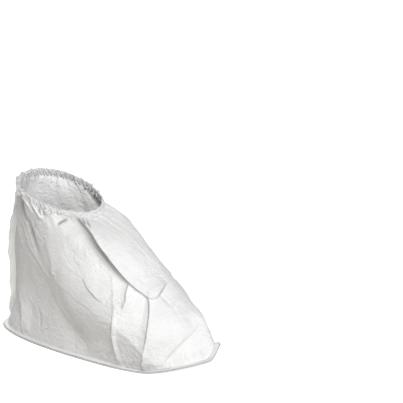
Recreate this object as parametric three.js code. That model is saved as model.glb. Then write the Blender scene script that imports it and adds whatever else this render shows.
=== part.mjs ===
import * as THREE from 'three';

// Disposable shoe cover for one foot: a sewn sleeve of white nonwoven sheet on a flat sole panel.
// Millimetres, +Z up, toe along +X, floor at z = 0, origin in the middle of the footprint.
// Around the wall: 0 is the toe, 90 the outer side (-Y), 180 the heel, 270 the inner side (+Y).
// Up the wall: 0 is the sole seam and 1 the elastic opening.

// Sheet thicknesses and the small clearance that sewn neighbours keep
const SHEET = 1.2;
const SOLE_SHEET = 1.2;
const CLEAR = 0.3;

// The upper's sole edge is turned out and sewn to the sole inside a narrow overlocked seam
const SEAM_GROW = 7;
const SEAM_SKIN = 1.2;
const SEAM_LIP = 4.6;
const SEAM_TOP = 0.9;

// The toe lifts off the floor between these two stations
const LIFT = 16;
const LIFT_START = 98;
const LIFT_END = 168;
const LIFT_FADE = 1.5;

// Elastic hem round the ankle
const HEM_HEIGHT = 8;
const HEM_THICK = 3.2;
const HEM_RIPPLE = 0.5;
const HEM_SCALLOP = 0.6;
const GATHERS = 24;
const GATHER_DEPTH = 1.3;
const GATHER_FADE = 0.22;
// Section of the hem from its inner foot round: out in half thicknesses, rise in heights
const HEM_SECTION = [
  { out: -0.62, rise: 0.0, swell: 0, scallop: 0 },
  { out: 0.62, rise: 0.0, swell: 0, scallop: 0 },
  { out: 1.0, rise: 0.35, swell: 1, scallop: 0 },
  { out: 0.81, rise: 0.8, swell: 1, scallop: 0 },
  { out: 0.0, rise: 1.0, swell: 1, scallop: 1 },
  { out: -1.0, rise: 0.55, swell: 1, scallop: 0 },
];

// Standing seam allowance down the middle of the heel
const FIN_WIDTH = 10.2;
const FIN_THICK = 1.8;
const FIN_TURN = 42;
const FIN_WAVE = 6;
const FIN_WAVES = 11;
const FIN_FOOT = 0.03;
const FIN_HEAD = 0.965;
const FIN_NARROW = 0.12;
const FIN_STEPS = 20;

// Mesh fineness
const COLUMNS = 96;
const WALL_ROWS = 18;
const SOLE_STEPS = 46;
const PATH_STEPS = 10;
const SOLE_TIP = 0.012;
const PROBE_AROUND = 1.5;
const PROBE_UP = 0.02;

// Level sections of the sleeve. Each is a rounded outline from xBack to xFront, widest at xWide.
// heel and toe are the powers that round its two ends: 2 is an ellipse, less is pointed, more is boxy.
const SECTIONS = [
  { up: 0.00, zBack: 0, zFront: 0, xBack: -161, xFront: 161, xWide: 48, half: 61, heel: 2.4, toe: 2.05 },
  { up: 0.12, zBack: 24, zFront: 24, xBack: -157, xFront: 157, xWide: 42, half: 63, heel: 1.9, toe: 2.1 },
  { up: 0.30, zBack: 61, zFront: 53, xBack: -155, xFront: 135, xWide: 26, half: 66, heel: 1.6, toe: 2.1 },
  { up: 0.55, zBack: 113, zFront: 94, xBack: -155, xFront: 93, xWide: -8, half: 62, heel: 1.5, toe: 2.0 },
  { up: 0.80, zBack: 163, zFront: 135, xBack: -145, xFront: 47, xWide: -46, half: 55, heel: 1.65, toe: 2.0 },
  { up: 1.00, zBack: 199, zFront: 164, xBack: -139, xFront: -18, xWide: -78, half: 51, heel: 2.0, toe: 2.0 },
];

// Creases of the loose sheet. A path lists [around, up] points, and height is how far it stands out.
// left and right are how far the slope reaches on each side when walking along the path outside.
const FOLDS = [
  { name: 'shoulder', height: 9.0, left: 85, right: 80,
    path: [[88, 0.9], [91, 0.76], [90, 0.62], [84, 0.48], [74, 0.36], [64, 0.24]] },
  { name: 'side break', height: 9.0, left: 70, right: 60,
    path: [[94, 0.43], [76, 0.35], [66, 0.26], [58, 0.15], [51, 0.03]] },
  { name: 'front puff', height: 2.6, left: 16, right: 34,
    path: [[-80, 0.86], [-50, 0.86], [-20, 0.86], [20, 0.88]] },
  { name: 'instep flap', height: 7.0, left: 50, right: 7,
    path: [[40, 0.91], [44, 0.79], [42, 0.69], [39, 0.6], [30, 0.49]] },
  { name: 'flap tip', height: 2.6, left: 30, right: 7,
    path: [[30, 0.49], [22, 0.485], [8, 0.54]] },
  { name: 'front fold', height: 3.6, left: 22, right: 10,
    path: [[30, 0.48], [39, 0.37], [48, 0.25], [57, 0.13], [62, 0.0]] },
  { name: 'side fold', height: 3.0, left: 12, right: 14,
    path: [[50, 0.6], [61, 0.42], [71, 0.26], [77, 0.12], [78, 0.0]] },
  { name: 'toe crease', height: 4.4, left: 30, right: 26,
    path: [[2, 0.22], [18, 0.175], [31, 0.12], [44, 0.04]] },
  { name: 'skirt line', height: -5.0, left: 32, right: 46,
    path: [[119, 0.42], [112, 0.25], [105, 0.15], [96, 0.05]] },
  { name: 'heel valley', height: -3.4, left: 11, right: 10,
    path: [[147, 0.5], [148, 0.3], [145, 0.15], [144, 0.02]] },
  { name: 'hem pocket', height: -3.4, left: 12, right: 12,
    path: [[118, 0.93], [128, 0.86], [130, 0.8]] },
  { name: 'pocket below', height: -3.0, left: 11, right: 11,
    path: [[117, 0.79], [116, 0.7], [115, 0.6]] },
  { name: 'inner shoulder', height: 7.5, left: 80, right: 40,
    path: [[266, 0.9], [262, 0.76], [265, 0.6], [272, 0.45], [282, 0.32], [291, 0.22]] },
  { name: 'inner break', height: 6.5, left: 60, right: 30,
    path: [[258, 0.45], [277, 0.35], [288, 0.25], [296, 0.14], [305, 0.03]] },
  { name: 'inner flap', height: 4.2, left: 15, right: 8,
    path: [[304, 0.51], [295, 0.57], [292, 0.7], [297, 0.86], [304, 0.95]] },
  { name: 'inner front fold', height: 2.6, left: 12, right: 9,
    path: [[289, 0.02], [294, 0.16], [299, 0.34], [303, 0.48]] },
  { name: 'inner skirt line', height: -4.6, left: 44, right: 30,
    path: [[242, 0.42], [250, 0.24], [258, 0.13], [267, 0.04]] },
  { name: 'inner heel valley', height: -3.0, left: 10, right: 11,
    path: [[213, 0.5], [213, 0.28], [216, 0.1], [217, 0.02]] },
  { name: 'inner hem pocket', height: -3.2, left: 12, right: 11,
    path: [[245, 0.93], [236, 0.86], [234, 0.8]] },
];
// How hollow the slopes of a crease are: 1 is straight, more is steeper near its crest
const SLOPE_POWER = 1.4;
// A crease keeps this share of its height at its two ends, and gains the rest at this rate
const END_SHARE = 0.35;
const END_RATE = 6;
// Creases are calmed near the sole seam, up to the first level, and under the hem, over the second stretch
const FOOT_CALM = 0.06;
const FOOT_SHARE = 0.25;
const HEM_CALM = 0.12;

const rad = THREE.MathUtils.degToRad;
const signedPow = (value, power) => Math.sign(value) * Math.abs(value) ** power;

// Smooth value of one section column at a level, by cubic steps between the rows
function column(key, up) {
  const last = SECTIONS.length - 1;
  let row = 0;
  while (row < last - 1 && up > SECTIONS[row + 1].up) row += 1;
  const slope = (at) => {
    const before = SECTIONS[Math.max(at - 1, 0)];
    const after = SECTIONS[Math.min(at + 1, last)];
    return (after[key] - before[key]) / (after.up - before.up);
  };
  const low = SECTIONS[row];
  const high = SECTIONS[row + 1];
  const step = high.up - low.up;
  const t = (up - low.up) / step;
  const rise = t * t * (3 - 2 * t);
  const lead = t * (1 - t) * (1 - t) * step * slope(row);
  const trail = t * t * (t - 1) * step * slope(row + 1);
  return low[key] + (high[key] - low[key]) * rise + lead + trail;
}

// Height of the sole's underside above the floor
function lift(x) {
  const t = THREE.MathUtils.clamp((x - LIFT_START) / (LIFT_END - LIFT_START), 0, 1);
  return LIFT * t * t * (2 - t);
}

// Plain rounded sleeve without creases, optionally grown outwards for the seam allowance
function sleeve(around, up, grow = 0) {
  const angle = rad(around);
  const c = Math.cos(angle);
  const s = Math.sin(angle);
  const xBack = column('xBack', up) - grow;
  const xFront = column('xFront', up) + grow;
  const xWide = column('xWide', up);
  const half = column('half', up) + grow;
  const zBack = column('zBack', up);
  const zFront = column('zFront', up);
  const power = 2 / (c >= 0 ? column('toe', up) : column('heel', up));
  const reach = c >= 0 ? xFront - xWide : xWide - xBack;
  const x = xWide + reach * signedPow(c, power);
  const y = -half * signedPow(s, power);
  const z = zBack + ((zFront - zBack) * (x - xBack)) / (xFront - xBack);
  return new THREE.Vector3(x, y, z + lift(x) * (1 - up) ** LIFT_FADE);
}

// Outward direction of the plain sleeve
function outward(around, up) {
  const below = Math.max(up - PROBE_UP, 0);
  const above = Math.min(up + PROBE_UP, 1);
  const along = sleeve(around + PROBE_AROUND, up).sub(sleeve(around - PROBE_AROUND, up));
  const rising = sleeve(around, above).sub(sleeve(around, below));
  const normal = rising.cross(along).normalize();
  if (Math.abs(normal.z) > 0.999) normal.set(-Math.cos(rad(around)), 0, 0);
  return normal;
}

// Crease paths spread into evenly spaced points on the plain sleeve, with their walking direction
const CREASES = FOLDS.map((fold) => {
  const points = [];
  const spans = fold.path.length - 1;
  for (let i = 0; i <= spans * PATH_STEPS; i += 1) {
    const at = Math.min(Math.floor(i / PATH_STEPS), spans - 1);
    const t = i / PATH_STEPS - at;
    const around = THREE.MathUtils.lerp(fold.path[at][0], fold.path[at + 1][0], t);
    const up = THREE.MathUtils.lerp(fold.path[at][1], fold.path[at + 1][1], t);
    points.push(sleeve(around, up));
  }
  const ways = points.map((_, i) => {
    const ahead = points[Math.min(i + 1, points.length - 1)];
    return ahead.clone().sub(points[Math.max(i - 1, 0)]).normalize();
  });
  return { ...fold, points, ways };
});

// How far one crease lifts a point of the plain sleeve
function creaseHeight(crease, point, normal) {
  let nearest = 0;
  let best = Infinity;
  crease.points.forEach((other, i) => {
    const gap = other.distanceToSquared(point);
    if (gap < best) {
      best = gap;
      nearest = i;
    }
  });
  const offset = point.clone().sub(crease.points[nearest]);
  const leftward = normal.clone().cross(crease.ways[nearest]);
  const reach = offset.dot(leftward) >= 0 ? crease.left : crease.right;
  const fall = Math.max(1 - Math.sqrt(best) / reach, 0);
  const along = nearest / (crease.points.length - 1);
  const taper = Math.min(1, END_RATE * along + END_SHARE, END_RATE * (1 - along) + END_SHARE);
  return crease.height * taper * fall ** SLOPE_POWER;
}

// Gathers drawn up by the elastic, fading down the wall
function gather(around, up) {
  const fade = Math.max(1 - (1 - up) / GATHER_FADE, 0);
  return GATHER_DEPTH * fade * fade * Math.cos(GATHERS * rad(around));
}

// A point of the creased sheet, set in by a depth below its outer face
function wall(around, up, depth) {
  const point = sleeve(around, up);
  const normal = outward(around, up);
  const calm = Math.min(1, up / FOOT_CALM);
  let height = 0;
  CREASES.forEach((crease) => {
    height += creaseHeight(crease, point, normal);
  });
  const settle = THREE.MathUtils.lerp(FOOT_SHARE, 1, calm);
  point.addScaledVector(normal, height * settle * hemEase(up) + gather(around, up) - depth);
  return point;
}

// Creases die out just under the hem
function hemEase(up) {
  return THREE.MathUtils.smoothstep(1 - up, 0, HEM_CALM);
}

// Closed ring of a section profile: the profile is called for each column and closes on itself
function ringGeometry(profile) {
  const rows = [];
  for (let i = 0; i < COLUMNS; i += 1) rows.push(profile((360 * i) / COLUMNS));
  const count = rows[0].length;
  const positions = rows.flat().flatMap((p) => [p.x, p.y, p.z]);
  const index = [];
  for (let i = 0; i < COLUMNS; i += 1) {
    const next = (i + 1) % COLUMNS;
    for (let k = 0; k < count; k += 1) {
      const up = (k + 1) % count;
      const a = i * count + k;
      const b = next * count + k;
      const c = next * count + up;
      const d = i * count + up;
      index.push(a, c, b, a, d, c);
    }
  }
  return solid(positions, index);
}

// Closed bar of four-cornered sections with flat ends
function barGeometry(sections) {
  const positions = sections.flat().flatMap((p) => [p.x, p.y, p.z]);
  const index = [];
  for (let i = 0; i < sections.length - 1; i += 1) {
    for (let k = 0; k < 4; k += 1) {
      const a = i * 4 + k;
      const b = i * 4 + ((k + 1) % 4);
      index.push(a, b, b + 4, a, b + 4, a + 4);
    }
  }
  const end = (sections.length - 1) * 4;
  index.push(0, 2, 1, 0, 3, 2);
  index.push(end, end + 1, end + 2, end, end + 2, end + 3);
  return solid(positions, index);
}

function solid(positions, index) {
  const geometry = new THREE.BufferGeometry();
  geometry.setAttribute('position', new THREE.Float32BufferAttribute(positions, 3));
  geometry.setIndex(index);
  geometry.computeVertexNormals();
  return geometry;
}

// Floor-hugging point of the seam allowance: grown outline, raised above the sole's underside
function foot(around, grow, height) {
  const point = sleeve(around, 0, grow);
  point.z = lift(point.x) + height;
  return point;
}

// The upper: turned-out foot, creased wall and open top, as one folded sheet
const footLow = SOLE_SHEET + CLEAR;
const footHigh = footLow + SHEET;
const edgeGrow = SEAM_GROW - SEAM_SKIN - CLEAR;

function upperProfile(around) {
  const raise = (point, up) => point.setZ(point.z + footHigh * (1 - up));
  const outer = [];
  const inner = [];
  for (let r = 0; r <= WALL_ROWS; r += 1) {
    const up = r / WALL_ROWS;
    outer.push(raise(wall(around, up, 0), up));
    inner.push(raise(wall(around, up, SHEET), up));
  }
  const base = outer[0];
  base.z = lift(base.x) + footHigh;
  inner[0].z = lift(inner[0].x) + footLow;
  return [foot(around, edgeGrow, footLow), foot(around, edgeGrow, footHigh), ...outer, ...inner.reverse()];
}

// The overlocked seam: a hooked strip round the outside of both sheets
function seamProfile(around) {
  const inside = SEAM_GROW - SEAM_SKIN;
  const under = footHigh + CLEAR;
  const top = under + SEAM_TOP;
  return [
    foot(around, inside, 0),
    foot(around, SEAM_GROW, 0),
    foot(around, SEAM_GROW, top),
    foot(around, SEAM_GROW - SEAM_LIP, top),
    foot(around, SEAM_GROW - SEAM_LIP, under),
    foot(around, inside, under),
  ];
}

// The hem: a rippled band standing on the upper's top edge
function hemProfile(around) {
  const seat = wall(around, 1, SHEET / 2);
  seat.z = Math.max(wall(around, 1, 0).z, wall(around, 1, SHEET).z);
  const side = outward(around, 1).setZ(0).normalize();
  const ripple = Math.cos(GATHERS * rad(around));
  return HEM_SECTION.map(({ out, rise, swell, scallop }) => {
    const point = seat.clone().addScaledVector(side, (out * HEM_THICK) / 2 + swell * HEM_RIPPLE * ripple);
    return point.setZ(point.z + CLEAR + rise * HEM_HEIGHT + scallop * HEM_SCALLOP * ripple);
  });
}

// The heel fin: two raw edges sewn together, standing behind the wall and bent to the outer side
function finSections() {
  const sections = [];
  for (let i = 0; i <= FIN_STEPS; i += 1) {
    const up = THREE.MathUtils.lerp(FIN_FOOT, FIN_HEAD, i / FIN_STEPS);
    const root = wall(180, up, 0);
    root.z += footHigh * (1 - up);
    const turn = rad(FIN_TURN + FIN_WAVE * Math.sin(FIN_WAVES * up));
    const width = FIN_WIDTH * THREE.MathUtils.smoothstep(1 - up, -FIN_NARROW / 2, FIN_NARROW);
    const out = width * Math.cos(turn);
    const bend = width * Math.sin(turn);
    const near = root.x - CLEAR;
    const half = FIN_THICK / 2;
    sections.push([
      new THREE.Vector3(near, half, root.z),
      new THREE.Vector3(near - out, half - bend, root.z),
      new THREE.Vector3(near - out, -half - bend, root.z),
      new THREE.Vector3(near, -half, root.z),
    ]);
  }
  return sections;
}

// The sole: a flat panel of ribs from heel to toe, lifted at the toe
function soleSections() {
  const grow = edgeGrow;
  const back = SECTIONS[0].xBack - grow;
  const front = SECTIONS[0].xFront + grow;
  const wide = SECTIONS[0].xWide;
  const half = SECTIONS[0].half + grow;
  const sections = [];
  for (let i = 0; i <= SOLE_STEPS; i += 1) {
    const turn = Math.PI * (SOLE_TIP + ((1 - 2 * SOLE_TIP) * i) / SOLE_STEPS);
    const c = -Math.cos(turn);
    const power = c >= 0 ? SECTIONS[0].toe : SECTIONS[0].heel;
    const reach = c >= 0 ? front - wide : wide - back;
    const x = wide + reach * c;
    const y = half * (1 - Math.abs(c) ** power) ** (1 / power);
    const z = lift(x);
    sections.push([
      new THREE.Vector3(x, -y, z),
      new THREE.Vector3(x, y, z),
      new THREE.Vector3(x, y, z + SOLE_SHEET),
      new THREE.Vector3(x, -y, z + SOLE_SHEET),
    ]);
  }
  return sections;
}

function piece(name, geometry, color, roughness) {
  const material = new THREE.MeshStandardMaterial({ color, roughness, metalness: 0 });
  const mesh = new THREE.Mesh(geometry, material);
  mesh.name = name;
  return mesh;
}

const cover = new THREE.Group();
cover.add(
  piece('upper', ringGeometry(upperProfile), 0xe9e8e8, 0.72),
  piece('sole', barGeometry(soleSections()), 0xdfdedd, 0.8),
  piece('sole_seam', ringGeometry(seamProfile), 0xd8d7d6, 0.78),
  piece('elastic_cuff', ringGeometry(hemProfile), 0xeeeded, 0.74),
  piece('heel_seam', barGeometry(finSections()), 0xe4e3e2, 0.75),
);

export default cover;
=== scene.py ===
"""Dresses a worn disposable shoe cover: a loose white nonwoven sleeve sewn to a flat sole panel.

Tables are in millimetres in the part's own frame: toe along +X, inner side along +Y, floor at z = 0.
A place on the wall is given as around (degrees: 0 toe, 90 outer side, 180 heel, 270 inner side) and
up (0 at the sole seam, 1 under the elastic hem).
"""

from __future__ import annotations

import logging
from dataclasses import dataclass, field
from enum import Enum

import bpy
import numpy as np
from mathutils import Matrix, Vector

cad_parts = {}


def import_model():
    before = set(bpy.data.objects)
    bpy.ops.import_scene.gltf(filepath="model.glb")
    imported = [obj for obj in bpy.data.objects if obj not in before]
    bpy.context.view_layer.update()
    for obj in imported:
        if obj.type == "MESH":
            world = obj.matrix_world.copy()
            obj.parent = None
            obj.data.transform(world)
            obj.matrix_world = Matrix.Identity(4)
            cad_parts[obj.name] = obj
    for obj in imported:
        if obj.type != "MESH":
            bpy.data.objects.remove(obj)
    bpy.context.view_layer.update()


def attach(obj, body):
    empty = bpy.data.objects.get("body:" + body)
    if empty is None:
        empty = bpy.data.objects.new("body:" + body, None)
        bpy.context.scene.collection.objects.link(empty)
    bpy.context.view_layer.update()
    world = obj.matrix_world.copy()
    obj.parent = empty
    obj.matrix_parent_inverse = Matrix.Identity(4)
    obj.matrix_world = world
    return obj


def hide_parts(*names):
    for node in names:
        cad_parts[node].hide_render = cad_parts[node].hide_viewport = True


LOG = logging.getLogger("shoe_cover")
MM = 0.001
BODY = "root"
TURN = 2.0 * np.pi
# Point attribute of shade painted into the sheet's colour beside folds, darkest in their crooks
PAINTED_SHADE_ATTRIBUTE = "fold_crook"
HEEL = 180.0


class Crease(Enum):
    """How a fold of the sheet leaves the plain wall."""

    RIDGE = "stands out on both sides"
    VALLEY = "is pressed in on both sides"
    FLAP = "stands out on its left side and drops over a hidden edge on its right"


@dataclass(frozen=True)
class Section:
    """Level outline of the sleeve; heel and toe are the powers that round its two ends."""

    up: float
    z_back: float
    z_front: float
    x_back: float
    x_front: float
    x_wide: float
    half: float
    heel: float
    toe: float


@dataclass(frozen=True)
class Fold:
    """Crease of the loose sheet, walked along its path outside the wall.

    path lists (around, up, height) places. left and right are how far its slopes reach, crest rounds
    its top, power bends its slopes, and lean pushes a flap's edge out over its low side. Shade is
    painted into the sheet's colour along the fold: the field after lean is how far this painted shade
    reaches, and shade how dark it is.
    """

    name: str
    kind: Crease
    left: float
    right: float
    path: tuple[tuple[float, float, float], ...]
    crest: float = 0.3
    power: float = 1.2
    lean: float = 0.0
    # reach of the shade painted into the colour beside the fold; shade below is how dark it is
    painted_shade: float = 0.0
    shade: float = 1.0

    def peak(self) -> float:
        """Greatest height along the path."""
        return max(place[2] for place in self.path)


SECTIONS = (
    Section(0.00, 0, 0, -161, 161, 48, 61, 2.4, 2.05),
    Section(0.12, 24, 24, -157, 151, 42, 63, 1.9, 2.1),
    Section(0.30, 61, 53, -155, 135, 26, 66, 1.6, 2.1),
    Section(0.55, 113, 94, -155, 93, -8, 62, 1.5, 2.0),
    Section(0.80, 163, 135, -143, 47, -46, 55, 1.65, 2.0),
    Section(1.00, 199, 164, -131, -18, -78, 51, 2.0, 2.0),
)

# The two long lines where the sheet turns from the sloping front to the upright side
TURNS = (
    Fold("shoulder", Crease.RIDGE, 85, 80, (
        (86, 0.95, 0.0), (91, 0.79, 4.0), (91, 0.67, 7.0), (88, 0.56, 9.0), (83, 0.46, 9.0),
        (75, 0.37, 7.0), (68, 0.30, 4.0), (62, 0.21, 0.0)), crest=10, power=1.5),
    Fold("side break", Crease.RIDGE, 70, 60, (
        (102, 0.47, 0.0), (87, 0.39, 3.0), (76, 0.35, 6.0), (68, 0.30, 9.0), (63.5, 0.235, 10.0),
        (58.5, 0.155, 10.5), (54, 0.08, 9.5), (50, 0.01, 7.0)), crest=0.4, power=1.6),
    Fold("inner shoulder", Crease.RIDGE, 80, 40, (
        (268, 0.95, 0.0), (262, 0.79, 3.5), (263, 0.67, 6.0), (266, 0.56, 7.5), (272, 0.45, 7.5),
        (279, 0.36, 6.0), (286, 0.29, 3.5), (293, 0.21, 0.0)), crest=10, power=1.5),
    Fold("inner break", Crease.RIDGE, 60, 30, (
        (252, 0.49, 0.0), (266, 0.40, 2.5), (277, 0.35, 4.5), (285, 0.29, 6.0), (291, 0.21, 6.5),
        (296, 0.14, 6.0), (302, 0.07, 4.0), (307, 0.01, 1.5)), crest=0.8, power=1.5),
)

# Creases on the outer side, from the instep down to the sole and then round to the heel
OUTER_FOLDS = (
    Fold("front puff", Crease.RIDGE, 16, 34, (
        (-84, 0.85, 0.0), (-58, 0.86, 1.6), (-30, 0.85, 3.0), (0, 0.86, 2.4), (26, 0.88, 0.0)),
        crest=6.0),
    Fold("instep flap", Crease.FLAP, 50, 6, (
        (33, 0.995, 1.4), (37, 0.95, 3.4), (40, 0.89, 5.4), (42.5, 0.815, 7.0), (41.5, 0.745, 7.2),
        (39.5, 0.668, 6.0), (37.5, 0.605, 4.2), (34, 0.548, 2.8), (30.5, 0.51, 2.0),
        (28.5, 0.486, 1.4), (25.5, 0.479, 0.8), (21, 0.494, 1.2), (14, 0.526, 1.8), (5, 0.552, 1.4),
        (-6, 0.57, 0.0)), lean=2.0, painted_shade=11.5),
    Fold("flap edge", Crease.FLAP, 12, 2.4, (
        (34, 0.99, 2.2), (37, 0.95, 3.3), (40, 0.89, 3.4), (42.5, 0.815, 3.2), (41.5, 0.745, 2.8),
        (39.5, 0.668, 2.8), (37.5, 0.605, 2.8), (34, 0.548, 2.8), (30.5, 0.51, 2.6),
        (28.5, 0.486, 2.4), (25.5, 0.479, 2.0), (21, 0.494, 2.4), (14, 0.526, 3.4), (5, 0.552, 3.0),
        (-6, 0.57, 0.0)), lean=2.2, painted_shade=2.2, shade=1.25),
    Fold("flap start", Crease.VALLEY, 2.6, 2.6, (
        (24.5, 0.999, 1.0), (31, 0.965, 1.6), (37, 0.931, 1.6), (40, 0.90, 0.0)), painted_shade=1.7,
        shade=1.2),
    Fold("flap start beside", Crease.VALLEY, 2.6, 2.6, (
        (20.5, 0.988, 1.0), (31, 0.938, 1.6), (37, 0.896, 0.6), (38, 0.88, 0.0)), painted_shade=1.7,
        shade=1.2),
    Fold("front fold", Crease.FLAP, 24, 2.4, (
        (28.5, 0.488, 2.4), (32, 0.44, 4.4), (37, 0.38, 4.8), (42.5, 0.315, 4.8), (47.5, 0.245, 4.2),
        (52, 0.17, 3.0), (55.5, 0.11, 2.2), (58, 0.07, 1.6), (61.5, 0.012, 1.0)), power=1.1, lean=2.0,
        painted_shade=3.4),
    Fold("front fold foot", Crease.FLAP, 4.0, 2.2, (
        (50, 0.20, 0.0), (53.5, 0.145, 1.6), (56.5, 0.095, 3.0), (59, 0.055, 3.2),
        (61.5, 0.012, 2.0)), power=1.0, lean=0.6, painted_shade=1.8, shade=0.7),
    Fold("short crease", Crease.FLAP, 11, 2.2, (
        (37.3, 0.58, 1.0), (39.5, 0.56, 3.2), (44.5, 0.515, 4.0), (50, 0.455, 3.2), (54, 0.42, 2.0),
        (58, 0.382, 0.0)), power=1.1, lean=1.8, painted_shade=2.8),
    Fold("side fold", Crease.FLAP, 4.0, 2.2, (
        (48, 0.66, 0.2), (51, 0.59, 0.6), (55, 0.52, 0.9), (59, 0.455, 1.2), (63.5, 0.375, 1.8),
        (68, 0.30, 3.0), (73, 0.22, 4.2), (77, 0.12, 4.2), (78.5, 0.05, 3.4), (79, 0.01, 1.6)),
        power=1.0, lean=0.6, painted_shade=1.8, shade=0.7),
    Fold("side swell", Crease.RIDGE, 14, 16, (
        (51, 0.59, 0.0), (60, 0.44, 1.4), (70, 0.28, 1.6), (77, 0.12, 1.2), (78, 0.02, 0.4)),
        crest=0.8),
    Fold("kink", Crease.FLAP, 15, 2.2, (
        (73.5, 0.575, 0.4), (73.5, 0.54, 1.4), (73.2, 0.51, 1.8), (71.5, 0.483, 1.8),
        (70.5, 0.463, 1.6), (69, 0.448, 1.0), (67, 0.425, 0.0)), crest=0.8, lean=1.2, painted_shade=1.5),
    Fold("toe crease", Crease.VALLEY, 32, 22, (
        (-14, 0.25, 0.0), (2, 0.22, 5.0), (18.5, 0.17, 8.5), (31, 0.12, 9.0), (40, 0.073, 7.5),
        (46, 0.035, 4.0)), painted_shade=1.6, shade=0.45),
    Fold("toe valley", Crease.VALLEY, 3.5, 3.5, (
        (16.5, 0.52, 0.0), (15.5, 0.50, 0.8), (13.5, 0.475, 1.2), (11.5, 0.447, 1.0), (11, 0.42, 0.5),
        (12.5, 0.37, 0.5), (15, 0.32, 0.0)), crest=0.4, painted_shade=2.4, shade=0.34),
    Fold("toe light", Crease.RIDGE, 3, 3, (
        (13, 0.41, 0.0), (9, 0.426, 0.9), (0, 0.444, 1.0), (-15, 0.452, 0.0))),
    Fold("fine line", Crease.RIDGE, 2.5, 2.5, (
        (11, 0.96, 0.0), (17, 0.905, 0.4), (14, 0.87, 0.4), (12, 0.83, 0.0))),
    Fold("long line", Crease.RIDGE, 3, 3, (
        (-13, 0.98, 0.0), (-9, 0.905, 0.6), (-5, 0.82, 0.7), (-8, 0.725, 0.7), (-19, 0.62, 0.0))),
    Fold("break line", Crease.VALLEY, 2.6, 2.0, (
        (115, 0.475, 0.2), (106, 0.459, 0.5), (97.5, 0.44, 0.55), (90, 0.405, 0.55), (83, 0.375, 0.4),
        (76, 0.34, 0.0)), crest=0.2, painted_shade=1.8, shade=0.22),
    Fold("skirt line", Crease.VALLEY, 32, 30, (
        (122, 0.49, 0.0), (117, 0.38, 3.0), (111, 0.22, 6.0), (105, 0.15, 6.0), (98, 0.07, 3.0),
        (94, 0.03, 0.0)), crest=2.0),
    Fold("skirt light", Crease.RIDGE, 3, 3, (
        (117, 0.44, 0.0), (113, 0.35, 0.6), (109, 0.285, 0.6), (106, 0.21, 0.0)), crest=0.5),
    Fold("side dent", Crease.VALLEY, 6, 5, (
        (101, 0.21, 0.0), (99, 0.14, 1.0), (98, 0.07, 0.6)), crest=0.8),
    Fold("low wrinkle", Crease.RIDGE, 2.5, 2.5, (
        (92, 0.02, 0.0), (90, 0.05, 0.6), (84, 0.10, 0.0))),
    Fold("low wrinkle beside", Crease.RIDGE, 2.5, 2.5, (
        (89, 0.01, 0.0), (86, 0.045, 0.6), (81, 0.09, 0.0))),
    Fold("gather crease", Crease.VALLEY, 3.0, 3.0, (
        (71.5, 0.896, 0.8), (67.5, 0.915, 1.6), (61.5, 0.938, 1.8), (52.5, 0.965, 1.6),
        (47, 0.982, 0.0)), painted_shade=2.0, shade=1.3),
    Fold("gather under hem", Crease.VALLEY, 2.2, 2.2, (
        (80.5, 0.998, 1.0), (84, 0.958, 1.4), (88, 0.915, 0.0)), painted_shade=1.6),
    Fold("gather under hem beside", Crease.VALLEY, 2.2, 2.2, (
        (74, 0.998, 1.0), (80, 0.954, 1.6), (83.5, 0.907, 0.0)), painted_shade=1.6),
    Fold("gather under hem short", Crease.VALLEY, 2.0, 2.0, (
        (63.5, 0.998, 1.0), (69, 0.973, 1.0), (72, 0.955, 0.0)), painted_shade=1.5),
    Fold("gather crease beside", Crease.VALLEY, 3, 3, (
        (16, 0.995, 0.8), (23, 0.97, 1.4), (32, 0.927, 0.0)), crest=0.4),
    Fold("soft patch", Crease.RIDGE, 8, 12, (
        (47, 0.90, 0.0), (62, 0.825, 1.0), (71, 0.76, 0.0)), crest=0.8),
    Fold("hem bump", Crease.RIDGE, 7, 6, (
        (91, 0.985, 0.5), (87, 0.955, 3.0), (90, 0.915, 3.0), (93, 0.88, 0.0)), crest=2.0),
    Fold("hem pocket", Crease.VALLEY, 10, 4.5, (
        (117, 0.985, 1.5), (123, 0.934, 4.5), (127, 0.88, 6.0), (128, 0.842, 6.0), (128, 0.807, 3.5),
        (120, 0.785, 0.0)), crest=0.8, painted_shade=6.5),
    Fold("pocket below", Crease.VALLEY, 8, 7, (
        (120, 0.805, 1.0), (123, 0.772, 3.2), (121, 0.72, 3.0), (119, 0.668, 2.4),
        (117.5, 0.625, 1.4), (116, 0.585, 0.0)), crest=1.2, painted_shade=5.5, shade=0.7),
    Fold("tongue", Crease.RIDGE, 8, 7, (
        (99, 0.77, 0.0), (100, 0.69, 1.5), (101, 0.62, 2.0), (105, 0.55, 2.0), (109, 0.49, 0.5)),
        crest=2.0),
    Fold("tongue edge", Crease.RIDGE, 4, 5, (
        (146, 0.77, 0.0), (138, 0.734, 0.8), (131.5, 0.676, 1.0), (125.5, 0.60, 0.9),
        (119, 0.555, 0.8), (115, 0.51, 0.8), (111, 0.485, 0.3)), crest=0.5),
    Fold("heel fold", Crease.FLAP, 18, 3.0, (
        (154, 0.37, 0.5), (150, 0.28, 2.4), (145, 0.215, 3.8), (140.5, 0.166, 4.4), (138, 0.10, 4.6),
        (135.5, 0.045, 3.4), (133, 0.0, 0.0)), crest=0.5, lean=0.8, painted_shade=5.0),
    Fold("heel shoulder", Crease.RIDGE, 17, 8, (
        (152, 0.93, 0.0), (152, 0.86, 2.5), (150, 0.78, 3.5), (148, 0.70, 3.0), (144, 0.62, 1.5),
        (138, 0.55, 0.0)), crest=2.0),
    Fold("heel facet", Crease.RIDGE, 12, 14, (
        (142, 0.31, 0.0), (135, 0.25, 1.4), (127, 0.21, 1.4), (122, 0.18, 0.0)), crest=0.8),
    Fold("dimples", Crease.VALLEY, 3.5, 3.5, (
        (130, 0.25, 0.0), (129, 0.217, 1.6), (127, 0.185, 0.8), (126, 0.15, 1.0), (125, 0.118, 1.8),
        (124, 0.083, 0.0)), crest=0.4, painted_shade=2.4, shade=0.5),
)

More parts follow.
